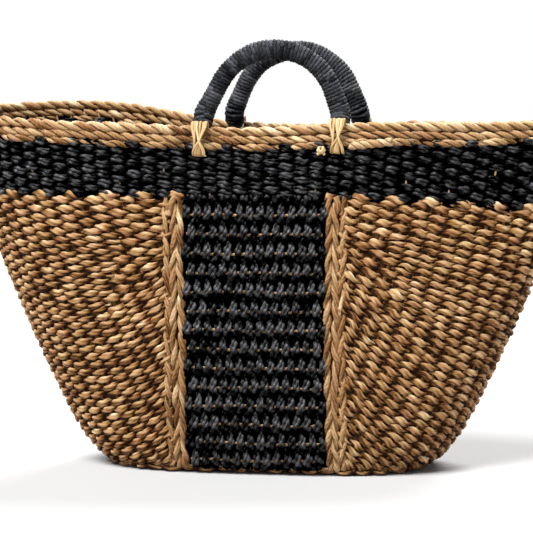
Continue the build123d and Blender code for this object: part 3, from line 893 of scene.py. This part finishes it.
# ---- handles ----
WRAP_RADIUS = 10 * MM
HANDLE_SPAN = 132 * MM
HANDLE_RISE = 62 * MM
HANDLE_LEANS = {"front": (28.0, 20.0), "back": (24.0, 22.0)}   # of the legs, in degrees
CORD_RADIUS = 1.9 * MM
CORD_PITCH = 3.35 * MM
TAIL_RADIUS = 6.4 * MM
TURN_STEPS = 50                # samples per turn of the cord
CORD_LAY = 8.5                 # grooves between its plies in one turn of the cord
GRIP_FADE = (20 * MM, 8 * MM)  # the winding narrows to the tail between these, below the pivot


def smooth_line(points, reach):
    """A polyline resampled every millimetre and rounded off over reach."""
    points = np.array(points)
    arc = arc_length(points)
    line = resample(points, arc, np.arange(0, arc[-1], 1 * MM))
    width = int(reach / MM) // 2
    padded = np.concatenate([2 * line[:1] - line[width:0:-1], line,
                             2 * line[-1:] - line[-2:-width - 2:-1]])
    return smoothed(padded, width)


def handle_path(joint, place):
    """The middle line of one handle, from tail to tail: two legs and one arc between them."""
    middle = np.array(joint["pos_m"])
    along = np.array(joint["axis"])
    up = np.array([0.0, 0.0, 1.0])
    half_span = HANDLE_SPAN / 2 / along[0]
    left, right = (math.radians(lean) for lean in HANDLE_LEANS[place])
    ease = [math.tan(math.pi / 4 - lean / 2) for lean in (left, right)]
    radius = (2 * half_span - HANDLE_RISE * (math.tan(left) + math.tan(right))) / sum(ease)
    arc_x = half_span - HANDLE_RISE * math.tan(right) - radius * ease[1]
    arc_z = HANDLE_RISE - radius
    arch = [middle + along * (arc_x + radius * math.cos(t)) + up * (arc_z + radius * math.sin(t))
            for t in np.linspace(math.pi - left, right, 40)]
    tails = []
    for foot in ("left", "right"):
        low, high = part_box(f"{place}_{foot}_handle_tail")
        outer = high.y - TAIL_RADIUS if place == "back" else low.y + TAIL_RADIUS
        top = np.array([(low.x + high.x) / 2, outer, high.z])
        tails.append((top - up * (high.z - low.z), top))
    feet = [middle - along * half_span, middle + along * half_span]
    points = [tails[0][0], tails[0][1], feet[0], *arch, feet[1], tails[1][1], tails[1][0]]
    return smooth_line(points, 12 * MM)


for joint in frame["joints"]:
    place = joint["name"].split("_")[0]
    line = handle_path(joint, place)
    arc = arc_length(line)
    pivot_z = joint["pos_m"][2]
    turns = int(arc[-1] / CORD_PITCH)
    s = np.linspace(0, arc[-1], turns * TURN_STEPS)
    centre = resample(line, arc, s)
    along = direction(centre)
    flat = np.cross(np.array(joint["axis"]), [0.0, 0.0, 1.0])
    flat = np.tile(unit(flat), (len(s), 1))
    side = unit(np.cross(along, flat))
    out = np.cross(side, along)
    narrow, full = (pivot_z - below for below in GRIP_FADE)
    grip = np.interp(centre[:, 2], (narrow, full), (TAIL_RADIUS, WRAP_RADIUS))
    wound = np.arange(len(s)) / TURN_STEPS     # turns so far
    each = np.floor(wound).astype(int)
    draws = np.random.default_rng(77 if place == "front" else 78)
    fat = 1 + np.clip(draws.normal(0, 0.10, turns + 2), -0.2, 0.25)
    tones = np.clip(draws.normal(0.5, 0.14, turns + 2), 0, 1)
    wobble = 0.35 * MM * np.sin(s / (17 * MM)) + 0.20 * MM * np.sin(s / (6 * MM) + 1)
    radius = grip - CORD_RADIUS + wobble
    turn = wound * 2 * math.pi + 0.3 * np.sin(s / (13 * MM))
    arm = out * np.cos(turn)[:, None] + side * np.sin(turn)[:, None]
    winding = Strands()
    winding.tube(centre + arm * radius[:, None], arm, CORD_RADIUS * 0.85 * fat[each],
                 CORD_RADIUS * 1.08, tones[each], sides=8, twist=wound * math.pi * CORD_LAY,
                 groove=0.30)
    # a core under the winding, in the darkest tone as painted shade between the turns
    core = (radius - 0.4 * MM)[::25]
    winding.tube(centre[::25], flat[::25], core, core, tone=0.0, sides=20)
    nodes = [f"{place}_handle_wrap", f"{place}_handle_core",
             f"{place}_left_handle_tail", f"{place}_right_handle_tail"]
    piece = winding.make(f"{place}_handle_winding", handle_cord, None, "handle_cord", nodes)
    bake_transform(piece)

# ---- raffia lashings ----
LASHING_STRANDS = 6
LASHING_CROSSING = 5           # a strand's place at the foot is its place at the top times this
LASHING_SPREAD = (2.6 * MM, 1.7 * MM)  # from strand to strand, over the rim and at the foot
LASHING_WAIST = 0.45           # how far the spread pulls in between the two, 0.5 is not at all


def lashing_loop(node, place, index, draw):
    """One turn of raffia: over the rim, round the handle's tail and back through the band."""
    low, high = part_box(node)
    sign = 1 if place == "back" else -1
    outer = max(abs(low.y), abs(high.y))
    inner = min(abs(low.y), abs(high.y))
    middle = (low.x + high.x) / 2
    order = (index * LASHING_CROSSING + 3) % (LASHING_STRANDS + 1) - LASHING_STRANDS / 2
    top_x = middle + (index - (LASHING_STRANDS - 1) / 2) * LASHING_SPREAD[0] + draw[0]
    low_x = middle + order * LASHING_SPREAD[1] + draw[1]
    waist_x = middle + (top_x + low_x - 2 * middle) * LASHING_WAIST
    top = high.z + (0.4 + 0.5 * (index % 2)) * MM
    foot = low.z + 1.2 * MM + abs(draw[2])
    proud = (0.6 + 0.9 * (index % 3)) * MM
    stops = [
        (low_x, outer - 1.6 * MM, foot),
        (low_x, outer - 0.6 * MM + proud * 0.4, foot + 5 * MM),
        (waist_x, outer - 0.3 * MM + proud, foot + 13 * MM),
        (top_x, outer - 1.0 * MM, top - 6 * MM),
        (top_x, outer - 4.5 * MM, top - 0.6 * MM),
        (top_x, outer - 8.5 * MM, top),
        (top_x, outer - 12 * MM, top - 3 * MM),
        (top_x, outer - 13.5 * MM, top - 9 * MM),
        (top_x, inner + 6 * MM, top - 13.5 * MM),
        (top_x, inner + 1.5 * MM, top - 17 * MM),
        (low_x, inner + 1 * MM, foot + 3 * MM),
        (low_x, inner + 5 * MM, foot),
        (low_x, (inner + outer) / 2, foot),
    ]
    return np.array([(x, sign * y, z) for x, y, z in stops])


def rounded_loop(stops, samples=100):
    """A closed polyline resampled evenly and rounded off."""
    line = np.concatenate([stops, stops[:1]])
    arc = arc_length(line)
    path = resample(line, arc, np.linspace(0, arc[-1], samples, endpoint=False))
    width = 3
    return smoothed(np.concatenate([path[-width:], path, path[:width]]), width)


for place in ("front", "back"):
    for foot in ("left", "right"):
        node = f"{place}_{foot}_lashing"
        lashing = Strands()
        for index in range(LASHING_STRANDS):
            path = rounded_loop(lashing_loop(node, place, index, rng.normal(0, 0.4 * MM, 3)))
            normal = unit((path - path.mean(0)) * [0, 1, 1])
            # painted shade darkens the grooves between the plies of each strand
            lashing.tube(path, normal, thick=1.1 * MM, wide=1.5 * MM,
                         tone=0.25 + 0.50 * rng.random(), twist=np.linspace(0, 9, len(path)),
                         groove=0.35, closed=True, painted_crease_shade=0.25)
        lashing.make(f"{node}_strands", raffia, "basket", "raffia", [node])

# ---- a rope end and a small knot on the front ----
low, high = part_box("splice_tail")
splice = Strands()
SPLICE_SAMPLES = 40
x = np.linspace(low.x + 2 * MM, high.x - 1 * MM, SPLICE_SAMPLES)
z = low.z + 5 * MM + (high.z - low.z - 9.5 * MM) * np.linspace(0, 1, SPLICE_SAMPLES)
depth = np.interp(x, (low.x, high.x), (low.y + 5.2 * MM, high.y - 4.2 * MM))
path = np.stack([x, depth, z], 1)
normal = np.tile([0.0, -1.0, 0.0], (SPLICE_SAMPLES, 1))
rope(splice, path, normal, radius=4.4 * MM, pitch=17 * MM, tone=0.85, seed=710000)
splice.make("splice_tail_rope", seagrass, "basket", "natural_seagrass", ["splice_tail"])

low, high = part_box("tie_knot")
knot = Strands()
middle = np.array((low + high) / 2)
for tilt in (-0.9, 0.9, 0.0):
    t = np.linspace(0, 2 * math.pi, 28, endpoint=False)
    loop = np.stack([np.cos(t) * 3.2 * MM, np.sin(t) * 2.0 * MM, np.sin(t) * 1.3 * MM], 1)
    spin = np.array([[math.cos(tilt), 0, math.sin(tilt)], [0, 1, 0],
                     [-math.sin(tilt), 0, math.cos(tilt)]])
    path = middle + loop @ spin.T
    knot.tube(path, unit(path - middle), thick=1.3 * MM, wide=1.4 * MM, tone=0.55, sides=8,
              closed=True)
for end in (-1, 1):
    share = np.linspace(0, 1, 8)[:, None]
    path = middle + share * np.array([end * 3.5 * MM, -0.3 * MM, -4.5 * MM])
    knot.tube(path, np.tile([0.0, -1.0, 0.0], (8, 1)), thick=1.0 * MM, wide=1.3 * MM, tone=0.6,
              sides=8)
knot.make("tie_knot_loops", raffia, "basket", "raffia", ["tie_knot"])

# ---- floor, light and camera ----
def studio_floor():
    """A plain pale floor, six metres to each side."""
    mesh = bpy.data.meshes.new("studio_floor")
    size = 6.0
    mesh.from_pydata([(-size, -size, 0), (size, -size, 0), (size, size, 0), (-size, size, 0)], [],
                     [(0, 1, 2, 3)])
    floor = add_object("studio_floor", mesh)
    material = bpy.data.materials.new("studio_white")
    material.use_nodes = True
    shader = material.node_tree.nodes["Principled BSDF"]
    shader.inputs["Base Color"].default_value = (0.52, 0.52, 0.52, 1)
    shader.inputs["Roughness"].default_value = 0.9
    mesh.materials.append(material)


# name, strength, softness in degrees, direction that it comes from
SUNS = (("key", 6.0, 35, (-0.30, -0.50, 0.81)),
        ("back", 4.5, 40, (0.15, 0.66, 0.74)))
SKY_EDGE = 1.0                 # the world is white at the horizon and dimmer overhead
SKY_TOP = 0.15
SKY_FADE = (0.12, 0.40)        # between these heights, one being straight up

studio_floor()
for name, strength, softness, come_from in SUNS:
    sun_data = bpy.data.lights.new(name, "SUN")
    sun_data.energy = strength
    sun_data.angle = math.radians(softness)
    add_object(name, sun_data, come_from)
bpy.context.scene.view_settings.view_transform = "Standard"

world = bpy.data.worlds.new("studio")
world.use_nodes = True
sky_tree = world.node_tree
toward = sky_tree.nodes.new("ShaderNodeTexCoord")
height = sky_tree.nodes.new("ShaderNodeSeparateXYZ")
sky_tree.links.new(toward.outputs["Generated"], height.inputs["Vector"])
sky = remap(sky_tree, height.outputs["Z"], SKY_EDGE, SKY_TOP, *SKY_FADE)
background = sky_tree.nodes["Background"]
background.inputs["Color"].default_value = (1, 1, 1, 1)
sky_tree.links.new(sky, background.inputs["Strength"])
bpy.context.scene.world = world

AZIMUTH, ELEVATION = math.radians(9.5), math.radians(4.5)
DISTANCE = 2.5
VIEW_WIDTH = 0.533             # width of the picture where the camera aims
AIM = Vector((-0.0045, 0.0, 0.197))
SENSOR = 36                    # the camera's own width, in millimetres
camera_data = bpy.data.cameras.new("camera")
camera_data.sensor_width = SENSOR
camera_data.lens = SENSOR * DISTANCE / VIEW_WIDTH
back = Vector((math.sin(AZIMUTH) * math.cos(ELEVATION), -math.cos(AZIMUTH) * math.cos(ELEVATION),
               math.sin(ELEVATION)))
camera = add_object("camera", camera_data, back)
camera.location = AIM + back * DISTANCE
bpy.context.scene.camera = camera
